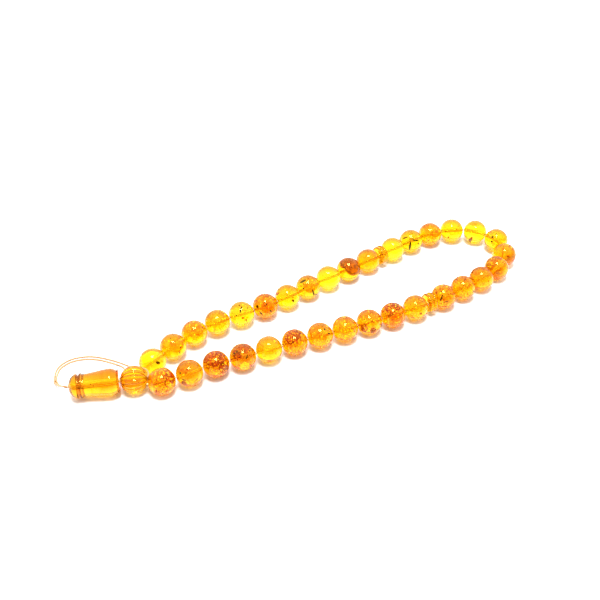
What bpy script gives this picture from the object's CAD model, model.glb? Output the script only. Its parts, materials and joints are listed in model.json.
"""Amber misbaha: the looks of the beads, separators, ribbed bead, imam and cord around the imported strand."""
import json
import math
import random

import bmesh
import bpy
from mathutils import Euler, Matrix, Vector, noise

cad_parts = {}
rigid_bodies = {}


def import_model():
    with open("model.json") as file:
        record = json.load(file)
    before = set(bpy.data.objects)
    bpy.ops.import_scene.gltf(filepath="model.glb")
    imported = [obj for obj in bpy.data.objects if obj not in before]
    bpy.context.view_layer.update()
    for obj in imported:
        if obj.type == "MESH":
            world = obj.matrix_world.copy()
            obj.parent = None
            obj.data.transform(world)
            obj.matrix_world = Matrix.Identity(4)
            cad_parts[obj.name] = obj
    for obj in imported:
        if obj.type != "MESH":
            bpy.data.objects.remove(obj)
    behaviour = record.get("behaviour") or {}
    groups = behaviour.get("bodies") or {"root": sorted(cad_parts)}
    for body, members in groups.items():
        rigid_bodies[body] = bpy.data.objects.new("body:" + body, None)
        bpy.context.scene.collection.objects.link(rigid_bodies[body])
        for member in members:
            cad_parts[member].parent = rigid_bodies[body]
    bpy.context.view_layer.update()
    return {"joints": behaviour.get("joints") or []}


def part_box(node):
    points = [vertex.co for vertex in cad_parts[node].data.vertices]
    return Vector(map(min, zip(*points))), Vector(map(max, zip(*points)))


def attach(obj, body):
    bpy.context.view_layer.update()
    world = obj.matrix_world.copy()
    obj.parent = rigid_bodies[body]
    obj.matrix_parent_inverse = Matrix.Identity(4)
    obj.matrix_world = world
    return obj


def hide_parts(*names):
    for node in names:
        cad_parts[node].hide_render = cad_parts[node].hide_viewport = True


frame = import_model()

MM = 0.001

BEADS = range(1, 34)
BORE_R = 0.40 * MM
HEAD_BORE_R = 0.65 * MM
CORD_R = 0.225 * MM
SLIM = 0.97                  # share of the cord's radius on every second piece, so that ends don't coincide
LIP = 0.1 * MM               # rounding of a bore's mouth
SKIN = 0.22 * MM             # inclusions keep this far under the surface of a round bead
BORE_CLEARANCE = 0.06 * MM   # and this far from the bore's wall
SHEET_OFF_AXIS = 0.8 * MM    # a fracture sheet stands at least this far from the bore's axis
ROUTE_STEP = 0.3 * MM

# Turning joints give each turned piece's middle and bore. The other hinges are where the cord bends.
SPINS = {j["child"]: j for j in frame["joints"] if j.get("continuous")}
HINGES = {j["child"]: Vector(j["pos_m"]) for j in frame["joints"] if not j.get("continuous")}


# ---------------------------------------------------------------- camera and light

CAMERA_AT = Vector((-90.76, -170.61, 172.2)) * MM
CAMERA_AIM = Vector((0.4, 8.3, 0.0)) * MM
CAMERA_LENS = 48.84
SENSOR_WIDTH = 36
NEAREST = 0.01


def make_camera():
    data = bpy.data.cameras.new("camera")
    data.lens = CAMERA_LENS
    data.sensor_width = SENSOR_WIDTH
    data.clip_start = NEAREST
    cam = bpy.data.objects.new("camera", data)
    cam.location = CAMERA_AT
    cam.rotation_euler = (CAMERA_AIM - CAMERA_AT).to_track_quat("-Z", "Y").to_euler()
    bpy.context.scene.collection.objects.link(cam)
    bpy.context.scene.camera = cam


make_camera()
TOWARDS = (CAMERA_AT - CAMERA_AIM).normalized()
RIGHT = Vector((0, 0, 1)).cross(TOWARDS).normalized()
UP = TOWARDS.cross(RIGHT)


# ---------------------------------------------------------------- node helpers

def new_material(name):
    material = bpy.data.materials.new(name)
    material.use_nodes = True
    tree = material.node_tree
    shader = tree.nodes["Principled BSDF"]
    return material, tree, shader


def add(tree, kind, **settings):
    """A node, with its settings given to its sockets or, where it has no such socket, to itself."""
    node = tree.nodes.new(kind)
    for key, value in settings.items():
        if key in node.inputs:
            node.inputs[key].default_value = value
        else:
            setattr(node, key, value)
    return node


def coordinates(tree, seed, scale=(1, 1, 1)):
    """Object coordinates, moved by the seed so that no two pieces share a pattern."""
    place = add(tree, "ShaderNodeTexCoord")
    moved = add(tree, "ShaderNodeMapping")
    moved.inputs["Location"].default_value = (seed * 0.037, seed * -0.021, seed * 0.013)
    moved.inputs["Scale"].default_value = scale
    tree.links.new(place.outputs["Object"], moved.inputs["Vector"])
    return moved.outputs["Vector"]


def ramp(tree, source, stops):
    """A colour ramp over a source, from (position, colour) pairs."""
    node = add(tree, "ShaderNodeValToRGB")
    elements = node.color_ramp.elements
    while len(elements) < len(stops):
        elements.new(0.5)
    for element, (position, colour) in zip(elements, stops):
        element.position = position
        element.color = (*colour, 1) if len(colour) == 3 else colour
    tree.links.new(source, node.inputs["Fac"])
    return node.outputs["Color"]


def mixed(tree, share, first, second, how="MIX"):
    """Two colours blended. Each value is a socket to link, a colour or a number."""
    node = add(tree, "ShaderNodeMix", data_type="RGBA", blend_type=how)
    share_in, first_in, second_in = node.inputs[0], node.inputs[6], node.inputs[7]
    for socket, value in ((share_in, share), (first_in, first), (second_in, second)):
        if hasattr(value, "is_linked"):
            tree.links.new(value, socket)
        elif isinstance(value, tuple):
            socket.default_value = (*value, 1)
        else:
            socket.default_value = value
    return node.outputs[2]


def grey(level):
    return (level, level, level)


# ---------------------------------------------------------------- amber

BLACK = (0, 0, 0)


def in_bore(tree, bore_r):
    """1 on the ground wall of the bore along X, 0 on the polished skin."""
    place = add(tree, "ShaderNodeTexCoord")
    flat = add(tree, "ShaderNodeVectorMath", operation="MULTIPLY")
    flat.inputs[1].default_value = (0, 1, 1)
    tree.links.new(place.outputs["Object"], flat.inputs[0])
    off_axis = add(tree, "ShaderNodeVectorMath", operation="LENGTH")
    tree.links.new(flat.outputs["Vector"], off_axis.inputs[0])
    near = add(tree, "ShaderNodeMapRange")
    near.inputs["From Min"].default_value = bore_r + 0.05 * MM
    near.inputs["From Max"].default_value = bore_r + 0.01 * MM
    tree.links.new(off_axis.outputs["Value"], near.inputs["Value"])
    return near.outputs["Result"]


def along_bands(tree, stops):
    """A share that changes along the bore: (place in metres, share) pairs in rising order."""
    place = add(tree, "ShaderNodeTexCoord")
    parts = add(tree, "ShaderNodeSeparateXYZ")
    tree.links.new(place.outputs["Object"], parts.inputs[0])
    low, high = stops[0][0], stops[-1][0]
    span = add(tree, "ShaderNodeMapRange")
    span.inputs["From Min"].default_value = low
    span.inputs["From Max"].default_value = high
    tree.links.new(parts.outputs["X"], span.inputs["Value"])
    bands = [((x - low) / (high - low), grey(share)) for x, share in stops]
    return ramp(tree, span.outputs["Result"], bands)


def along_flutes(tree, count):
    """A share that is highest in the bottom of each flute along the bore, where the polish is worn in."""
    place = add(tree, "ShaderNodeTexCoord")
    parts = add(tree, "ShaderNodeSeparateXYZ")
    tree.links.new(place.outputs["Object"], parts.inputs[0])
    angle = add(tree, "ShaderNodeMath", operation="ARCTAN2")
    tree.links.new(parts.outputs["Z"], angle.inputs[0])
    tree.links.new(parts.outputs["Y"], angle.inputs[1])
    turned = add(tree, "ShaderNodeMath", operation="MULTIPLY")
    turned.inputs[1].default_value = count / 2
    tree.links.new(angle.outputs[0], turned.inputs[0])
    wave = add(tree, "ShaderNodeMath", operation="SINE")
    tree.links.new(turned.outputs[0], wave.inputs[0])
    depth = add(tree, "ShaderNodeMath", operation="ABSOLUTE")
    tree.links.new(wave.outputs[0], depth.inputs[0])
    return ramp(tree, depth.outputs[0], [(0.05, grey(0.85)), (0.32, BLACK)])


# Share of red, green and blue light that 8 mm of each kind of amber lets through
TINTS = {
    "pale": (0.98, 0.60, 0.025),
    "clear": (0.975, 0.51, 0.008),
    "golden": (0.95, 0.40, 0.005),
    "orange": (0.93, 0.34, 0.005),
}
TINT_DEPTH = 8 * MM
CLEAR_BASE = (1.0, 0.94, 0.20)
PATCH, PATCH_EDGE = (0.80, 0.31, 0.02), (0.26, 0.08, 0.008)
BAND, FLUTE = (0.42, 0.13, 0.02), (0.66, 0.22, 0.01)
BORE_WALL = (1.0, 0.97, 0.85)
AMBER_IOR = 1.54


def amber(name, tint, seed, stain, stained, veins, mottle=0.0, scale=1.0, bore_r=BORE_R, bands=None,
          flutes=0):
    """Polished translucent amber: a volume tint, stained clouds, crackle veins and mottled patches."""
    material, tree, shader = new_material(name)
    where = coordinates(tree, seed)
    clouds = add(tree, "ShaderNodeTexNoise", Scale=330 * scale, Detail=5.0, Roughness=0.6, Distortion=0.6)
    tree.links.new(where, clouds.inputs["Vector"])
    cells = add(tree, "ShaderNodeTexVoronoi", feature="DISTANCE_TO_EDGE", Scale=620 * scale)
    warp = add(tree, "ShaderNodeTexNoise", Scale=900 * scale, Detail=3.0)
    tree.links.new(where, warp.inputs["Vector"])
    warped = mixed(tree, 0.0012, where, warp.outputs["Color"], "LINEAR_LIGHT")
    tree.links.new(warped, cells.inputs["Vector"])
    reach = 0.3 * stained
    cloud_share = ramp(tree, clouds.outputs["Fac"], [(0.62 - reach, BLACK), (0.80 - reach, (1, 1, 1))])
    vein_share = ramp(tree, cells.outputs["Distance"], [(0.0, grey(veins)), (0.06, BLACK)])
    vein_share = mixed(tree, 1.0, vein_share, cloud_share, "MULTIPLY")
    body = mixed(tree, cloud_share, CLEAR_BASE, stain)
    colour = mixed(tree, vein_share, body, tuple(0.45 * c for c in stain))
    if mottle > 0:
        fine = add(tree, "ShaderNodeTexNoise", Scale=1150, Detail=5.0, Roughness=0.62, Distortion=1.1)
        tree.links.new(where, fine.inputs["Vector"])
        reach = 0.16 * mottle
        patches = ramp(tree, fine.outputs["Fac"], [(0.60 - reach, BLACK), (0.65 - reach, grey(0.85))])
        colour = mixed(tree, patches, colour, PATCH)
        first, second = grey(0.9 * mottle), grey(0.8 * mottle)
        lines = [(0.38, BLACK), (0.40, first), (0.42, BLACK), (0.54, BLACK), (0.555, second), (0.57, BLACK)]
        edges = ramp(tree, fine.outputs["Fac"], lines)
        colour = mixed(tree, edges, colour, PATCH_EDGE)
    if bands is not None:
        colour = mixed(tree, along_bands(tree, bands), colour, BAND)
    if flutes:
        colour = mixed(tree, along_flutes(tree, flutes), colour, FLUTE)
    colour = mixed(tree, in_bore(tree, bore_r), colour, BORE_WALL)
    tree.links.new(colour, shader.inputs["Base Color"])
    polish = add(tree, "ShaderNodeTexNoise", Scale=2600, Detail=2.0)
    tree.links.new(where, polish.inputs["Vector"])
    rough = ramp(tree, polish.outputs["Fac"], [(0.45, grey(0.012)), (0.75, grey(0.05))])
    rough = mixed(tree, in_bore(tree, bore_r), rough, grey(0.25))
    tree.links.new(rough, shader.inputs["Roughness"])
    shader.inputs["IOR"].default_value = AMBER_IOR
    shader.inputs["Specular Tint"].default_value = (1.0, 0.82, 0.20, 1)
    shader.inputs["Transmission Weight"].default_value = 1
    loss = [-math.log(share) / TINT_DEPTH for share in TINTS[tint]]
    density = max(loss)
    absorb = add(tree, "ShaderNodeVolumeAbsorption", Density=density)
    absorb.inputs["Color"].default_value = (*[1 - each / density for each in loss], 1)
    tree.links.new(absorb.outputs["Volume"], tree.nodes["Material Output"].inputs["Volume"])
    return material


def inclusion(name, seed, scale, detail, stops, roughness, glow=None, strength=0.0, distortion=0.0):
    """What lies inside the amber. A faint glow stands for the light that the amber gathers on it."""
    material, tree, shader = new_material(name)
    where = coordinates(tree, seed)
    tone = add(tree, "ShaderNodeTexNoise", Scale=scale, Detail=detail, Distortion=distortion)
    tree.links.new(where, tone.inputs["Vector"])
    tree.links.new(ramp(tree, tone.outputs["Fac"], stops), shader.inputs["Base Color"])
    shader.inputs["Roughness"].default_value = roughness
    if glow is not None:
        shader.inputs["Specular IOR Level"].default_value = 0.1
        shader.inputs["Emission Color"].default_value = (*glow, 1)
        shader.inputs["Emission Strength"].default_value = strength
    return material


def cord_thread(name, dark, light, glow):
    """Cream tan twisted thread."""
    material, tree, shader = new_material(name)
    where = coordinates(tree, 4)
    fibres = add(tree, "ShaderNodeTexNoise", Scale=5200, Detail=4.0, Roughness=0.65)
    tree.links.new(where, fibres.inputs["Vector"])
    colour = ramp(tree, fibres.outputs["Fac"], [(0.3, dark), (0.7, light)])
    tree.links.new(colour, shader.inputs["Base Color"])
    bump = add(tree, "ShaderNodeBump", Strength=0.5, Distance=0.00003)
    tree.links.new(fibres.outputs["Fac"], bump.inputs["Height"])
    tree.links.new(bump.outputs["Normal"], shader.inputs["Normal"])
    shader.inputs["Roughness"].default_value = 0.62
    shader.inputs["Sheen Weight"].default_value = 0.15
    shader.inputs["Subsurface Weight"].default_value = 0.35
    shader.inputs["Subsurface Radius"].default_value = (1.0, 0.6, 0.3)
    shader.inputs["Subsurface Scale"].default_value = 0.0002
    shader.inputs["Emission Color"].default_value = (1.0, 0.55, 0.10, 1)
    shader.inputs["Emission Strength"].default_value = glow
    return material


# Sun spangles, the stress discs that flash gold
GOLD = inclusion("spangle_gold", 1, 1500, 2.0, [(0.35, (1.0, 0.62, 0.03)), (0.65, (1.0, 0.88, 0.12))], 0.4,
                 (1.0, 0.82, 0.01), 0.9)
# Oxidised fracture faces and bits of bark
BROWN = inclusion("inclusion_brown", 2, 1100, 4.0, [(0.35, (0.34, 0.07, 0.004)), (0.7, (0.72, 0.23, 0.012))],
                  0.5, (0.50, 0.11, 0.004), 0.25)
# Dark plant debris
DARK = inclusion("inclusion_dark", 3, 1800, 3.0,
                 [(0.35, (0.012, 0.006, 0.003)), (0.75, (0.10, 0.035, 0.010))], 0.55)
# Orange folds and stained layers
FOLD = inclusion("fold_orange", 5, 1400, 4.0, [(0.35, (0.80, 0.28, 0.01)), (0.65, (1.0, 0.56, 0.02))], 0.5,
                 (1.0, 0.42, 0.01), 0.35, distortion=0.8)
INCLUSIONS = [GOLD, BROWN, DARK, FOLD]
KINDS = ("gold", "brown", "dark", "orange")

THREAD = cord_thread("cord_thread", (0.46, 0.21, 0.07), (0.74, 0.44, 0.20), 0.0)
# The thread inside the beads catches the light that the amber gathers
LIT_THREAD = cord_thread("cord_thread_in_amber", (0.90, 0.62, 0.30), (1.0, 0.84, 0.55), 0.3)


# ---------------------------------------------------------------- meshes

def placed(body):
    """The frame of a turned piece: its bore along X, Z up, in its middle."""
    at = Vector(SPINS[body]["pos_m"])
    along = Vector(SPINS[body]["axis"]).normalized()
    across = Vector((0, 0, 1)).cross(along)
    matrix = Matrix((along, across, (0, 0, 1))).transposed().to_4x4()
    matrix.translation = at
    return matrix


def to_object(name, mesh, materials, matrix, body):
    """A smooth piece on its body. A piece with no matrix was made in its place."""
    for material in materials:
        mesh.materials.append(material)
    for polygon in mesh.polygons:
        polygon.use_smooth = True
    piece = bpy.data.objects.new(name, mesh)
    bpy.context.scene.collection.objects.link(piece)
    if matrix is not None:
        piece.matrix_world = matrix
    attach(piece, body)
    return piece


def ring_mesh(name, outline, steps, radius_at=None):
    """A closed loop of (along, radius) points turned about X. radius_at changes a radius round the axis."""
    mesh = bmesh.new()
    rings = []
    for along, radius in outline:
        ring = []
        for step in range(steps):
            angle = 2 * math.pi * step / steps
            r = radius if radius_at is None else radius_at(along, radius, angle)
            ring.append(mesh.verts.new((along, r * math.cos(angle), r * math.sin(angle))))
        rings.append(ring)
    for k, ring in enumerate(rings):
        after = rings[(k + 1) % len(rings)]
        for step in range(steps):
            other = (step + 1) % steps
            mesh.faces.new((ring[step], ring[other], after[other], after[step]))
    bmesh.ops.recalc_face_normals(mesh, faces=mesh.faces)
    data = bpy.data.meshes.new(name)
    mesh.to_mesh(data)
    mesh.free()
    return data


def arc(middle, radius, start, end, count):
    """Points on a circle from one angle to another, in degrees, where 0 is along +X and 90 is outwards."""
    points = []
    for k in range(count + 1):
        angle = math.radians(start + (end - start) * k / count)
        points.append((middle[0] + radius * math.cos(angle), middle[1] + radius * math.sin(angle)))
    return points


def bore(low, high, radius, count=6):
    """The bore's wall from its high end back to its low end."""
    return [(high + (low - high) * k / count, radius) for k in range(count + 1)]


def bead_outline(radius):
    """A drilled ball with its bore's mouths slightly rounded."""
    mouth_r = BORE_R + LIP
    opening = math.degrees(math.asin(mouth_r / radius))
    mouth = math.sqrt(radius ** 2 - mouth_r ** 2)
    ball = arc((0, 0), radius, 180 - opening, opening, 44)
    x, r = mouth - 0.35 * LIP, BORE_R + 0.30 * LIP
    return ball + [(x, r)] + bore(LIP - mouth, mouth - LIP, BORE_R) + [(-x, r)]


def inside(point, radius, clearance):
    """Whether a thing of that size lies in the amber, clear of the skin and the bore."""
    off_axis = math.hypot(point.y, point.z)
    return point.length < radius - clearance and off_axis > BORE_R + clearance


def kept_in(point, radius):
    """The place itself, or the nearest one clear of the skin and the bore."""
    if point.length > radius:
        point = point.normalized() * radius
    off_axis = Vector((0, point.y, point.z))
    if off_axis.length < BORE_R + BORE_CLEARANCE:
        off_axis = off_axis.normalized() * (BORE_R + BORE_CLEARANCE)
    return Vector((point.x, off_axis.y, off_axis.z))


def spot_in_ball(rng, radius, clearance):
    """A random place in the amber, in the bead's frame."""
    for _ in range(400):
        point = Vector([rng.uniform(-radius, radius) for _ in range(3)])
        if inside(point, radius, clearance):
            return point
    return None


def add_lens(mesh, at, normal, size, thickness, rng, sides, slot):
    """A thin closed disc with an uneven rim."""
    turn = normal.to_track_quat("Z", "Y").to_matrix()
    rim = []
    for k in range(sides):
        angle = 2 * math.pi * (k + rng.uniform(-0.25, 0.25)) / sides
        reach = size * rng.uniform(0.72, 1.0)
        rim.append(mesh.verts.new(at + turn @ Vector((reach * math.cos(angle), reach * math.sin(angle), 0))))
    top = mesh.verts.new(at + turn @ Vector((0, 0, thickness / 2)))
    bottom = mesh.verts.new(at + turn @ Vector((0, 0, -thickness / 2)))
    for k in range(sides):
        other = rim[(k + 1) % sides]
        for corner in ((rim[k], other, top), (other, rim[k], bottom)):
            mesh.faces.new(corner).material_index = slot


def add_speck(mesh, at, size, rng, stretch, lie=None, radius=None):
    """A small uneven lump, which lies along a direction or any way."""
    turn = Euler([rng.uniform(0, math.tau) for _ in range(3)]).to_matrix()
    if lie is not None:
        turn = lie.to_track_quat("X", "Z").to_matrix()
    made = bmesh.ops.create_icosphere(mesh, subdivisions=2, radius=1)
    shift = Vector([rng.uniform(0, 50) for _ in range(3)])
    for v in made["verts"]:
        lump = 1 + 0.35 * noise.noise(v.co * 1.6 + shift)
        scaled = Vector([c * s * size * lump for c, s in zip(v.co, stretch)])
        v.co = at + turn @ scaled
        if radius is not None:
            v.co = kept_in(v.co, radius)
        for face in v.link_faces:
            face.material_index = KINDS.index("dark")


def add_sheet(mesh, at, normal, size, rng, slot, radius):
    """A thin closed curved sheet: a fracture face with a ragged edge, which stays in the amber."""
    turn = normal.to_track_quat("Z", "Y").to_matrix()
    shift = Vector([rng.uniform(0, 50) for _ in range(3)])
    sides, rings, half = 28, 6, 0.012 * MM
    curve, waviness = 0.2, 0.06 * size
    layers = []
    for face_side in (1, -1):
        rows = []
        for ring in range(1, rings + 1):
            row = []
            for k in range(sides):
                angle = math.tau * k / sides
                rim_way = Vector((math.cos(angle), math.sin(angle), 0))
                ragged = 1 + 0.28 * noise.noise(rim_way * 1.7 + shift)
                out = size * ring / rings * ragged
                x, y = out * math.cos(angle), out * math.sin(angle)
                z = curve * (x * x + y * y) / size + waviness * noise.noise(Vector((x, y, 0)) * 1400 + shift)
                point = at + turn @ Vector((x, y, z + face_side * half * (0 if ring == rings else 1)))
                row.append(kept_in(point, radius))
            rows.append(row)
        layers.append(rows)
    rim = [mesh.verts.new(p) for p in layers[0][-1]]
    for face_side, rows in zip((1, -1), layers):
        made = [[mesh.verts.new(p) for p in row] for row in rows[:-1]] + [rim]
        z0 = waviness * noise.noise(shift)
        middle = mesh.verts.new(at + turn @ Vector((0, 0, z0 + face_side * half)))
        for k in range(sides):
            o = (k + 1) % sides
            corners = [(middle, made[0][k], made[0][o])]
            for a, b in zip(made, made[1:]):
                corners.append((a[k], b[k], b[o], a[o]))
            for corner in corners:
                corner = corner if face_side > 0 else tuple(reversed(corner))
                mesh.faces.new(corner).material_index = slot


# ---------------------------------------------------------------- the round beads

# What each bead looks like. Places are to the right, up and towards the viewer of the strand as it
# lies, in bead radii. gold, brown: numbers of flakes. glitter: numbers of tiny gold and brown ones.
# specks: (place, size in mm) or (place, size, the way it lies). sheets: (place, facing, size, kind).
LOOKS = {
    1: dict(tint="pale", mottle=0.15, stained=0.1, gold=3, brown=2, specks=[((0.42, -0.05, 0.45), 0.55)],
            sheets=[((0.05, -0.15, 0.1), (-0.5, 0.8, 0.35), 2.2, "gold")]),
    2: dict(tint="clear", mottle=0.3, stained=0.35, gold=8, brown=3, specks=[((0.58, 0.0, 0.45), 0.3),
            ((0.5, -0.35, 0.45), 0.26), ((-0.1, 0.55, 0.4), 0.2)],
            sheets=[((0.1, -0.05, 0.0), (0.2, 0.3, 1.0), 1.6, "orange")]),
    3: dict(tint="golden", mottle=0.4, stained=0.3, gold=14, brown=4, glitter=(90, 20),
            sheets=[((-0.32, -0.42, 0.3), (0, -0.2, 1), 0.8, "gold"),
            ((0.05, -0.55, 0.3), (0, -0.2, 1), 0.7, "gold"),
            ((0.38, -0.38, 0.3), (0, -0.2, 1), 0.75, "gold"),
            ((0.1, 0.2, 0.0), (0.3, 0.4, 1), 1.5, "orange")]),
    4: dict(tint="clear", mottle=0.5, stained=0.35, gold=3, glitter=(10, 0)),
    5: dict(tint="pale", mottle=0.2, stained=0.15, gold=6, brown=4, glitter=(20, 30),
            specks=[((0.0, 0.3, 0.5), 0.3, (0.3, 1, 0)), ((0.35, 0.2, 0.45), 0.22),
            ((-0.3, -0.1, 0.5), 0.2)]),
    6: dict(tint="golden", mottle=0.75, stained=0.5, gold=12, brown=10, glitter=(120, 80),
            specks=[((-0.5, -0.05, 0.45), 0.5), ((-0.25, -0.5, 0.4), 0.42), ((0.4, -0.35, 0.45), 0.4),
            ((0.1, 0.1, 0.5), 0.3)], sheets=[((0.1, -0.2, 0.1), (0.2, 0.2, 1), 1.7, "orange")]),
    7: dict(tint="clear", mottle=0.2, stained=0.2, gold=5, brown=3, glitter=(20, 10),
            specks=[((0.42, -0.28, 0.5), 0.55), ((0.0, 0.1, 0.55), 0.2)]),
    8: dict(tint="clear", mottle=0.35, stained=0.45, gold=5, brown=5, glitter=(30, 30),
            specks=[((-0.35, 0.4, 0.45), 0.36, (1, 0.45, 0)), ((0.38, -0.4, 0.45), 0.36, (0.4, -1, 0)),
            ((-0.3, -0.1, 0.5), 0.3)], sheets=[((0.0, -0.2, 0.1), (0.1, 0.4, 1), 1.5, "orange")]),
    9: dict(tint="pale", stained=0.15, gold=4, brown=1, veins=0.5),
    10: dict(tint="clear", mottle=0.2, stained=0.3, gold=5, brown=4,
             sheets=[((0.2, 0.38, 0.3), (0.1, 0.2, 1.0), 3.6, "brown"),
             ((-0.3, 0.5, 0.2), (0.0, 0.3, 1.0), 2.2, "brown"),
             ((0.3, 0.2, 0.0), (0.3, 0.3, 1.0), 3.0, "orange")]),
    11: dict(tint="golden", mottle=0.25, stained=0.35, gold=3, brown=1),
    12: dict(tint="pale", stained=0.1, gold=1),
    13: dict(tint="clear", mottle=0.2, stained=0.3, gold=4, brown=5, glitter=(0, 30),
             specks=[((-0.12, -0.45, 0.5), 0.42, (0.15, 1, 0)), ((-0.5, 0.2, 0.45), 0.3, (1, 0.2, 0)),
             ((0.3, 0.0, 0.5), 0.3, (1, -0.1, 0)), ((0.5, -0.2, 0.4), 0.3),
             ((0.0, 0.1, 0.55), 0.26, (1, 0, 0))]),
    14: dict(tint="golden", mottle=0.5, stained=0.35, gold=6, brown=4, glitter=(20, 30),
             sheets=[((0.3, -0.25, 0.1), (-0.4, 0.6, 1), 1.4, "orange")]),
    15: dict(tint="clear", mottle=0.1, stained=0.1, gold=2, brown=2, specks=[((0.3, 0.05, 0.4), 0.26),
             ((-0.5, -0.1, 0.4), 0.28)]),
    16: dict(tint="pale", stained=0.15, gold=2, brown=1,
             sheets=[((-0.1, 0.5, 0.1), (0, 1, 0.5), 1.6, "orange")]),
    17: dict(tint="clear", mottle=0.35, stained=0.3, gold=5, brown=3, specks=[((-0.4, 0.2, 0.55), 0.45),
             ((-0.45, -0.15, 0.5), 0.38), ((-0.1, 0.4, 0.5), 0.3)]),
    18: dict(tint="golden", mottle=0.35, stained=0.3, gold=4, brown=4),
    19: dict(tint="golden", mottle=0.45, stained=0.35, gold=6, brown=5, glitter=(30, 20)),
    20: dict(tint="golden", mottle=0.4, stained=0.5, gold=6, brown=3, glitter=(20, 20)),
    21: dict(tint="golden", mottle=0.65, stained=0.5, gold=16, brown=6, glitter=(140, 40)),
    22: dict(tint="golden", mottle=0.75, stained=0.5, gold=16, brown=6, glitter=(200, 70),
             specks=[((-0.2, -0.1, 0.5), 0.3, (0.4, 1, 0)), ((0.1, -0.35, 0.5), 0.26, (1, 0.3, 0))]),
    23: dict(tint="golden", mottle=0.4, stained=0.35, gold=8, brown=5, glitter=(50, 40)),
    24: dict(tint="golden", mottle=0.9, stained=0.5, gold=16, brown=6, glitter=(260, 50),
             sheets=[((0.1, -0.3, 0.0), (0.2, -0.2, 1), 1.8, "orange"),
             ((-0.1, 0.35, 0.0), (0.2, 0.5, 1), 1.7, "brown")]),
    25: dict(tint="golden", mottle=0.5, stained=0.4, gold=14, brown=6, glitter=(110, 30),
             sheets=[((-0.45, -0.4, 0.2), (-0.3, -0.3, 1), 1.2, "brown"),
             ((0.2, -0.5, 0.2), (0.1, -0.3, 1), 0.8, "brown")]),
    26: dict(tint="golden", mottle=0.5, stained=0.45, gold=16, brown=4, veins=0.6, glitter=(150, 30)),
    27: dict(tint="golden", mottle=0.5, stained=0.35, gold=8, brown=5, glitter=(90, 30),
             specks=[((0.3, 0.42, 0.5), 0.34), ((0.55, 0.15, 0.45), 0.3), ((0.5, -0.35, 0.45), 0.26)],
             sheets=[((-0.3, 0.1, 0.0), (-0.3, 0.3, 1), 1.8, "orange")]),
    28: dict(tint="golden", mottle=0.9, stained=0.6, gold=26, brown=14, glitter=(320, 110),
             sheets=[((-0.2, 0.3, 0.0), (0.2, 0.5, 1), 2.2, "brown")]),
    29: dict(tint="clear", mottle=0.15, stained=0.12, gold=2, brown=1,
             sheets=[((-0.68, 0.05, 0.25), (-0.9, 0, 0.5), 1.5, "orange")]),
    30: dict(tint="golden", mottle=0.8, stained=0.4, gold=6, brown=10, glitter=(60, 60),
             specks=[((-0.4, 0.3, 0.45), 0.26, (1, 0.7, 0)), ((0.3, 0.05, 0.5), 0.2, (0.3, 1, 0))],
             sheets=[((0.1, 0.5, 0.2), (0.2, 0.6, 0.8), 1.6, "brown"),
             ((-0.35, 0.1, 0.2), (-0.3, 0.3, 1), 1.1, "brown"),
             ((0.1, -0.55, 0.2), (0, -0.4, 1), 1.2, "gold")]),
    31: dict(tint="golden", mottle=0.9, stained=0.6, gold=24, brown=16, veins=0.6, glitter=(200, 130),
             sheets=[((-0.1, 0.35, 0.0), (0, 0.5, 1), 2.4, "brown"),
             ((0.5, -0.2, 0.1), (0.6, -0.2, 1), 1.3, "brown")]),
    32: dict(tint="golden", mottle=0.25, stained=0.15, gold=2, brown=2, glitter=(10, 10),
             specks=[((-0.5, 0.05, 0.5), 0.3), ((0.5, -0.4, 0.45), 0.24, (1, 1, 0)),
             ((-0.3, -0.35, 0.5), 0.22, (1, -0.3, 0))],
             sheets=[((-0.38, -0.55, 0.2), (-0.2, -0.4, 1), 0.8, "brown")]),
    33: dict(tint="golden", mottle=0.8, stained=0.5, gold=26, brown=6, glitter=(320, 60),
             sheets=[((-0.25, 0.3, 0.0), (0, 0.5, 1), 2.0, "orange"),
             ((0.45, 0.2, 0.0), (0.5, 0.3, 1), 1.5, "brown")]),
}
STAINS = {
    "pale": (1.0, 0.76, 0.15),
    "clear": (1.0, 0.68, 0.09),
    "golden": (0.98, 0.58, 0.05),
}


# Sizes in mm and numbers of sides, in the order gold and brown
FLAKES = (((0.16, 0.46), 9), ((0.14, 0.42), 9))
GLITTER = (((0.1, 0.3), 6), ((0.08, 0.26), 6))
LUMP, SPLINTER = (1, 0.75, 0.55), (3.2, 0.8, 0.6)


def in_bead(matrix, place, radius):
    """A place given as seen by the viewer, in the bead's own frame."""
    world = RIGHT * place[0] + UP * place[1] + TOWARDS * place[2]
    return matrix.to_3x3().inverted() @ world * radius


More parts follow.
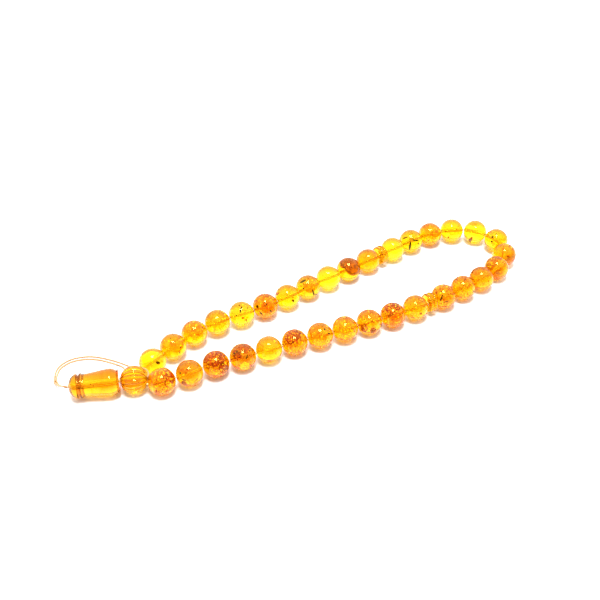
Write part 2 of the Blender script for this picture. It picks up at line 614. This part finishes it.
def make_inclusions(number, matrix, radius, look):
    """Flakes, specks and fracture sheets inside one bead, as one piece."""
    rng = random.Random(1000 + number)
    mesh = bmesh.new()
    deepest = radius - SKIN
    flakes = (look.get("gold", 0), look.get("brown", 0))
    for counts, kinds in ((flakes, FLAKES), (look.get("glitter", (0, 0)), GLITTER)):
        for slot, (count, (sizes, sides)) in enumerate(zip(counts, kinds)):
            for _ in range(count):
                size = rng.uniform(*sizes) * MM
                at = spot_in_ball(rng, deepest, size)
                if at is None:
                    continue
                any_way = Vector([rng.gauss(0, 1) for _ in range(3)]).normalized()
                facing = (any_way + at.normalized() * 0.6).normalized()
                add_lens(mesh, at, facing, size, 0.3 * size, rng, sides, slot)
    for place, size, *lie in look.get("specks", []):
        at = in_bead(matrix, place, radius)
        if lie:
            along = in_bead(matrix, lie[0], 1)
            add_speck(mesh, at, size * MM, rng, SPLINTER, along, deepest)
        else:
            add_speck(mesh, at, size * MM, rng, LUMP, radius=deepest)
    for place, facing, size, kind in look.get("sheets", []):
        at = in_bead(matrix, place, radius)
        normal = in_bead(matrix, facing, 1)
        normal = Vector((0, normal.y, normal.z)).normalized()
        at += normal * max(0, SHEET_OFF_AXIS - at.dot(normal))
        add_sheet(mesh, at, normal, size * MM, rng, KINDS.index(kind), deepest)
    if not mesh.faces:
        mesh.free()
        return
    node = f"bead_{number:02d}"
    data = bpy.data.meshes.new(node + "_inclusions")
    mesh.to_mesh(data)
    mesh.free()
    to_object(data.name, data, INCLUSIONS, matrix, node)


def make_bead(number):
    node = f"bead_{number:02d}"
    slot = f"amber_{number:02d}"
    look = LOOKS[number]
    tint = look["tint"]
    low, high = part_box(node)
    rng = random.Random(number)
    radius = (high.z - low.z) / 2 * rng.uniform(0.992, 1.0)
    matrix = placed(node)
    data = ring_mesh(node + "_amber", bead_outline(radius), 72)
    material = amber(slot, tint, number, STAINS[tint], look["stained"], look.get("veins", 0.3),
                     look.get("mottle", 0.0))
    bead = to_object(node + "_amber", data, [material], matrix, node)
    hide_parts(node)
    make_inclusions(number, matrix, radius, look)


# ---------------------------------------------------------------- separators, ribbed bead and imam

def make_separator(number):
    """A disc with two round rims and a thin ridge between them."""
    node = f"separator_{number}"
    low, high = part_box(node)
    radius = (high.z - low.z) / 2
    length = 2.5 * MM
    face_r, waist_r = 1.6 * MM, 2.1 * MM
    rim_r, ridge_r = 0.55 * MM, 0.14 * MM
    rim_x = length / 2 - rim_r
    rim_out = radius - rim_r
    outline = [(-length / 2, BORE_R + LIP), (-length / 2, face_r)]
    outline += arc((-rim_x, rim_out), rim_r, 180, 0, 14)
    outline += arc((0, waist_r + 0.45 * MM), ridge_r, 200, 340, 6)
    outline += arc((rim_x, rim_out), rim_r, 180, 0, 14)
    outline += [(length / 2, face_r), (length / 2, BORE_R + LIP)]
    outline += bore(-length / 2 + LIP, length / 2 - LIP, BORE_R)
    material = amber(node, "orange", 50 + number, STAINS["golden"], 0.4, 0.2, mottle=0.2)
    mesh = ring_mesh(node + "_amber", outline, 72)
    piece = to_object(node + "_amber", mesh, [material], placed(node), node)
    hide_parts(node)


def make_ribbed_bead():
    """A barrel with rounded ribs along its bore."""
    node = "ribbed_bead"
    ribs, depth = 16, 0.3 * MM
    full_r, half = 4.0 * MM, 3.8 * MM
    squareness = 2.1
    count = 40
    outline = []
    for k in range(count + 1):
        x = -math.cos(math.pi * k / count) * half
        r = full_r * (1 - (abs(x) / (half + 0.1 * MM)) ** squareness) ** (1 / squareness)
        if r > HEAD_BORE_R + 0.15 * MM:
            outline.append((x, r))
    end = outline[-1][0]
    inset = 0.12 * MM
    outline += bore(-end + inset, end - inset, HEAD_BORE_R)

    def fluted(along, radius, angle):
        if radius <= HEAD_BORE_R * 1.001:
            return radius
        return radius - depth * radius / full_r * (1 - abs(math.sin(ribs * angle / 2)))

    material = amber(node, "golden", 61, STAINS["golden"], 0.15, 0.2, bore_r=HEAD_BORE_R, flutes=ribs)
    mesh = ring_mesh("ribbed_bead_amber", outline, ribs * 12, fluted)
    piece = to_object("ribbed_bead_amber", mesh, [material], placed("ribbed"), "ribbed")
    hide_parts(node)


# The imam's parts that are not on a curve, in mm: (from its base, radius)
IMAM_FLANGE = [(0.0, 0.8), (0.0, 3.1), (0.05, 3.25), (0.16, 3.52), (0.25, 3.6), (0.34, 3.52), (0.5, 3.25),
               (0.56, 3.16)]
IMAM_COLLAR = [(10.2, 3.32), (10.32, 3.42), (10.4, 3.5), (10.5, 3.55), (10.9, 3.55), (10.98, 3.5)]
IMAM_GROOVE = [(11.0, 3.4), (11.03, 3.1), (11.1, 3.05), (11.5, 3.05), (11.57, 3.1), (11.59, 3.4), (11.6, 3.5)]
# Share of brown along it: the flange, the body, the collar, the cap and the tip
IMAM_BANDS = [(0.0, 0.6), (0.3, 0.6), (0.6, 0.0), (9.9, 0.0), (10.35, 0.9), (11.55, 0.95), (11.8, 0.25),
              (13.2, 0.1), (14.2, 0.6)]
# Specks in it: place along the bore from its middle in mm, place off the bore, size in mm
IMAM_SPECKS = [(0.6, (0, 0.05, 0.6), 0.22), (-0.1, (0, -0.1, 0.6), 0.18), (-1.2, (0, 0.1, 0.6), 0.14),
               (3.3, (0, -0.15, 0.5), 0.16)]
IMAM_LENGTH = 14.2 * MM
CAP_ARC = 78


def make_imam():
    """Lathed: flange, swell, slim waist, collar, groove and domed cap, base end at -X."""
    base = -IMAM_LENGTH / 2
    profile = list(IMAM_FLANGE)
    for k in range(1, 15):
        t = k / 14
        profile.append((0.56 + 1.84 * t, 3.15 + 0.8 * math.sin(math.pi / 2 * t)))
    for k in range(1, 25):
        t = k / 24
        profile.append((2.4 + 7.6 * t, 3.25 + 0.7 * (1 + math.cos(math.pi * t)) / 2))
    profile += IMAM_COLLAR + IMAM_GROOVE
    for k in range(16):
        t = math.radians(CAP_ARC * k / 15)
        profile.append((11.62 + 2.58 * math.sin(t) / math.sin(math.radians(CAP_ARC)), 3.55 * math.cos(t)))
    outline = [(base + x * MM, r * MM) for x, r in profile if r * MM > HEAD_BORE_R]
    outline += bore(base + LIP, outline[-1][0], HEAD_BORE_R, 12)
    matrix = placed("imam")
    bands = [(base + x * MM, share) for x, share in IMAM_BANDS]
    material = amber("imam", "golden", 71, STAINS["golden"], 0.3, 0.15, scale=0.7, bore_r=HEAD_BORE_R,
                     bands=bands)
    piece = to_object("imam_amber", ring_mesh("imam_amber", outline, 96), [material], matrix, "imam")
    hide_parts("imam")
    rng = random.Random(77)
    mesh = bmesh.new()
    for along, place, size in IMAM_SPECKS:
        spot = in_bead(matrix, place, 3.7 * MM)
        add_speck(mesh, Vector((along * MM, spot.y, spot.z)), size * MM, rng, (1.6, 0.5, 0.5))
    data = bpy.data.meshes.new("imam_inclusions")
    mesh.to_mesh(data)
    mesh.free()
    to_object("imam_inclusions", data, [GOLD, BROWN, DARK], matrix, "imam")


# ---------------------------------------------------------------- the cord

HANGER_OUT = [(-77.5, 0.5, 4.27), (-78.2, 0.9, 4.2), (-78.9, 1.7, 3.8), (-79.4, 3.0, 3.0),
              (-79.7, 4.6, 2.0), (-79.8, 6.1, 1.2), (-79.8, 7.5, 0.7)]
HANGER_LOOP = [(-79.5, 9.0, 0.5), (-78.9, 10.7, 0.3), (-78.1, 12.2, 0.3), (-76.9, 13.4, 0.3),
               (-74.9, 14.4, 0.3), (-72.5, 14.7, 0.3), (-69.8, 14.2, 0.3), (-67.1, 13.0, 0.3),
               (-64.5, 11.0, 0.3), (-62.1, 8.6, 0.3), (-60.3, 6.5, 0.3), (-59.1, 4.9, 0.3),
               (-58.4, 3.9, 0.3), (-58.2, 3.0, 0.3), (-58.6, 2.3, 0.3), (-59.2, 2.1, 0.3),
               (-59.9, 2.4, 0.3), (-60.2, 3.1, 0.3), (-60.2, 4.0, 0.3), (-60.6, 5.1, 0.3),
               (-61.5, 6.3, 0.3), (-62.9, 7.9, 0.3), (-65.1, 10.2, 0.3), (-67.6, 12.0, 0.3),
               (-70.0, 13.1, 0.3), (-72.5, 13.6, 0.3), (-74.6, 13.4, 0.3), (-76.4, 12.7, 0.3),
               (-77.5, 11.7, 0.3), (-78.3, 10.4, 0.3), (-79.0, 8.8, 0.5)]
HANGER_BACK = [(-79.3, 7.4, 0.7), (-79.2, 6.0, 1.1), (-79.1, 4.5, 1.8), (-78.8, 3.1, 2.6),
               (-78.4, 1.9, 3.3), (-78.0, 1.0, 3.6), (-77.5, 0.5, 3.73)]
KNOT_AT = Vector((-79.6, 7.4, 0.7)) * MM


def smooth_route(points, spacing):
    """A curve through all the points, with a point about every spacing."""
    p = [Vector(q) for q in points]
    route = []
    for k in range(len(p) - 1):
        a, b, c, d = p[max(k - 1, 0)], p[k], p[k + 1], p[min(k + 2, len(p) - 1)]
        count = max(1, round((c - b).length / spacing))
        for s in range(count):
            t = s / count
            squared = (2 * a - 5 * b + 4 * c - d) * t ** 2
            cubed = (3 * b - a - 3 * c + d) * t ** 3
            route.append(0.5 * (2 * b + (c - a) * t + squared + cubed))
    route.append(p[-1])
    return route


def twisted_tube(name, route, radius=CORD_R, sides=16):
    """A closed tube of two-ply cord along a route: its section is two lobes that turn as it goes."""
    twist = 1.1 * MM
    bulge = radius * 0.85
    mesh = bmesh.new()
    rings = []
    run = 0.0
    up = Vector((0, 0, 1))
    count = len(route)
    for k, point in enumerate(route):
        if k:
            run += (point - route[k - 1]).length
        along = (route[min(k + 1, count - 1)] - route[max(k - 1, 0)]).normalized()
        side = up.cross(along)
        side = side.normalized() if side.length > 1e-6 else Vector((1, 0, 0))
        over = along.cross(side)
        ring = []
        for s in range(sides):
            angle = math.tau * s / sides
            lobe = abs(math.cos(angle - math.pi * run / twist))
            r = radius * (0.88 + 0.12 * lobe)
            ring.append(mesh.verts.new(point + r * (math.cos(angle) * side + math.sin(angle) * over)))
        rings.append(ring)
    for a, b in zip(rings, rings[1:]):
        for s in range(sides):
            o = (s + 1) % sides
            mesh.faces.new((a[s], a[o], b[o], b[s]))
    for ring, point, inner in ((rings[0], route[0], route[1]), (rings[-1], route[-1], route[-2])):
        out = (point - inner).normalized()
        last = ring
        for angle in (30, 60):
            t = math.radians(angle)
            rise = out * radius * 0.85 * math.sin(t)
            cap = [mesh.verts.new(point + (v.co - point) * math.cos(t) + rise) for v in ring]
            for s in range(sides):
                o = (s + 1) % sides
                mesh.faces.new((last[s], last[o], cap[o], cap[s]))
            last = cap
        tip = mesh.verts.new(point + out * bulge)
        for s in range(sides):
            mesh.faces.new((last[s], last[(s + 1) % sides], tip))
    bmesh.ops.recalc_face_normals(mesh, faces=mesh.faces)
    data = bpy.data.meshes.new(name)
    mesh.to_mesh(data)
    mesh.free()
    return data


def joined(name, meshes):
    """Several meshes as one."""
    both = bmesh.new()
    for mesh in meshes:
        both.from_mesh(mesh)
    data = bpy.data.meshes.new(name)
    both.to_mesh(data)
    both.free()
    return data


def make_hanger():
    """The doubled loop beyond the imam, as one cord that starts and ends at its tip."""
    points = [Vector(p) * MM for p in HANGER_OUT + HANGER_LOOP + HANGER_BACK]
    route = smooth_route(points, 0.25 * MM)
    loop = to_object("hanger_cord", twisted_tube("hanger_cord", route), [THREAD], None, "hanger")
    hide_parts("hanger_loop")
    knot = make_knot()


def make_knot():
    """Wraps of the cord round the hanger's strands, pulled tight."""
    along = Vector((0.05, 1, -0.1)).normalized()
    side = Vector((1, 0, 0))
    over = along.cross(side).normalized()
    turns, wrap_r, wide, thread_r = 2.4, 0.40 * MM, 0.78 * MM, 0.2 * MM
    steps = 96
    route = []
    for k in range(steps + 1):
        t = k / steps
        angle = math.tau * turns * t
        round_it = (side * math.cos(angle) + over * math.sin(angle)) * wrap_r
        route.append(KNOT_AT + along * wide * (t - 0.5) + round_it)
    mesh = twisted_tube("hanger_knot_wraps", route, thread_r, 12)
    knot = to_object("hanger_knot_wraps", mesh, [THREAD], None, "hanger")
    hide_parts("hanger_knot")
    return knot


# How far the two links in the turn reach past their last bead's middle. The open pivot is between them.
LAST_REACH = {"a": 4.2 * MM, "b": 3.6 * MM}


def make_links():
    """The cord through the round beads, one piece for each link.

    Inside a link it goes straight from one middle to the next, so at a sharp bend it leaves the bores.
    """
    for half in "ab":
        for n in range(1, 10):
            body = f"link_{half}{n}"
            start = HINGES[body]
            riders = [j for j in SPINS.values() if j["parent"] == body]
            riders.sort(key=lambda j: (Vector(j["pos_m"]) - start).length)
            middles = [Vector(j["pos_m"]) for j in riders]
            route = [start]
            for a, b in zip(middles, middles[1:]):
                route.append(a)
                route.append(a + (b - a).normalized() * ((b - a).length / 2))
            route.append(middles[-1])
            after = HINGES.get(f"link_{half}{n + 1}")
            if after is None:
                axis = Vector(riders[-1]["axis"])
                far_side = 1 if (middles[-1] - start).dot(axis) > 0 else -1
                after = middles[-1] + far_side * LAST_REACH[half] * axis
            route.append(after)
            radius = CORD_R * (1 if n % 2 else SLIM)
            tube = twisted_tube(f"cord_{half}{n}", smooth_route(route, ROUTE_STEP), radius, 12)
            piece = to_object(f"cord_{half}{n}", tube, [LIT_THREAD], None, body)
            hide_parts(f"cord_link_{half}{n}")


# In mm from the ribbed bead's middle: along its bore, across it, up
FAR_STUB = [(3.1, 0, 0.27), (3.5, 0.05, 0.3), (3.8, 0.1, 0.35), (4.05, 0.4, 0.45), (4.15, 1.0, 0.7),
            (4.0, 1.7, 0.9), (3.75, 2.2, 0.95), (3.4, 2.65, 0.95), (3.0, 2.98, 1.0), (2.57, 3.33, 0.9),
            (2.25, 3.6, 0.6), (2.15, 3.7, 0.3), (2.16, 3.71, 0)]
NEAR_STUB = [(3.3, 0, -0.27), (3.75, 0.05, -0.35), (4.05, 0.1, -0.65), (4.12, 0.1, -1.1),
             (4.08, -0.2, -1.5), (3.98, -0.7, -1.7), (3.88, -1.2, -1.65), (3.77, -1.7, -1.4),
             (3.66, -2.1, -1.0), (3.61, -2.28, -0.5), (3.64, -2.29, 0)]
STRAND_RISE = 0.27 * MM


def make_neck_and_head():
    """Both strands: through the ribbed bead to the first beads, and through the imam."""
    matrix = placed("ribbed")
    strands = []
    for name, stub, rise in (("far", FAR_STUB, STRAND_RISE), ("near", NEAR_STUB, -STRAND_RISE)):
        start = HINGES["head"] + Vector((0, 0, rise))
        points = [start] + [matrix @ (Vector(p) * MM) for p in stub]
        strands.append(twisted_tube("neck_" + name, smooth_route(points, ROUTE_STEP), CORD_R, 12))
    mesh = joined("cord_neck_strands", strands)
    neck = to_object("cord_neck_strands", mesh, [THREAD], None, "neck")
    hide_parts("cord_neck")
    strands = []
    for rise in (STRAND_RISE, -STRAND_RISE):
        ends = [HINGES["head"] + Vector((0, 0, rise)), HINGES["hanger"] + Vector((0, 0, rise))]
        strands.append(twisted_tube("head", smooth_route(ends, ROUTE_STEP), CORD_R * SLIM, 12))
    mesh = joined("cord_head_strands", strands)
    head = to_object("cord_head_strands", mesh, [LIT_THREAD], None, "head")
    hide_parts("cord_head")


# ---------------------------------------------------------------- stage

FLOOR_SIZE = 6


def make_floor():
    bpy.ops.mesh.primitive_plane_add(size=FLOOR_SIZE)
    floor = bpy.context.object
    floor.name = "floor"
    material, tree, shader = new_material("floor_white")
    grain = add(tree, "ShaderNodeTexNoise", Scale=90.0, Detail=2.0)
    colour = ramp(tree, grain.outputs["Fac"], [(0.3, grey(0.90)), (0.7, grey(0.92))])
    tree.links.new(colour, shader.inputs["Base Color"])
    shader.inputs["Roughness"].default_value = 0.9
    shader.inputs["Specular IOR Level"].default_value = 0.1
    floor.data.materials.append(material)


# The studio is bright overhead and behind the strand, and dim on the viewer's side
BRIGHT_SIDE = (Vector((0, 0, 1)) - 0.55 * TOWARDS).normalized()
DIMMEST, BRIGHTEST = 0.3, 1.7
SOFTBOX_AT = Vector((-0.03, -0.06, 0.7))
SOFTBOX_SIZE = 0.27
SOFTBOX_POWER = 6.5


def make_light():
    world = bpy.data.worlds.new("studio")
    bpy.context.scene.world = world
    world.use_nodes = True
    tree = world.node_tree
    background = tree.nodes["Background"]
    background.inputs["Color"].default_value = (1, 1, 1, 1)
    look = add(tree, "ShaderNodeTexCoord")
    facing = add(tree, "ShaderNodeVectorMath", operation="DOT_PRODUCT")
    facing.inputs[1].default_value = BRIGHT_SIDE
    tree.links.new(look.outputs["Generated"], facing.inputs[0])
    glow = add(tree, "ShaderNodeMapRange", interpolation_type="SMOOTHSTEP")
    for socket, value in (("From Min", 0.0), ("From Max", 0.9), ("To Min", DIMMEST), ("To Max", BRIGHTEST)):
        glow.inputs[socket].default_value = value
    tree.links.new(facing.outputs["Value"], glow.inputs["Value"])
    tree.links.new(glow.outputs["Result"], background.inputs["Strength"])
    data = bpy.data.lights.new("softbox", "AREA")
    data.shape = "DISK"
    data.size = SOFTBOX_SIZE
    data.energy = SOFTBOX_POWER
    lamp = bpy.data.objects.new("softbox", data)
    lamp.location = CAMERA_AIM + SOFTBOX_AT
    lamp.rotation_euler = (CAMERA_AIM - lamp.location).to_track_quat("-Z", "Y").to_euler()
    bpy.context.scene.collection.objects.link(lamp)
    bpy.context.scene.view_settings.view_transform = "Standard"


make_hanger()
make_neck_and_head()
make_links()
for number in BEADS:
    make_bead(number)
for number in (1, 2):
    make_separator(number)
make_ribbed_bead()
make_imam()
make_floor()
make_light()
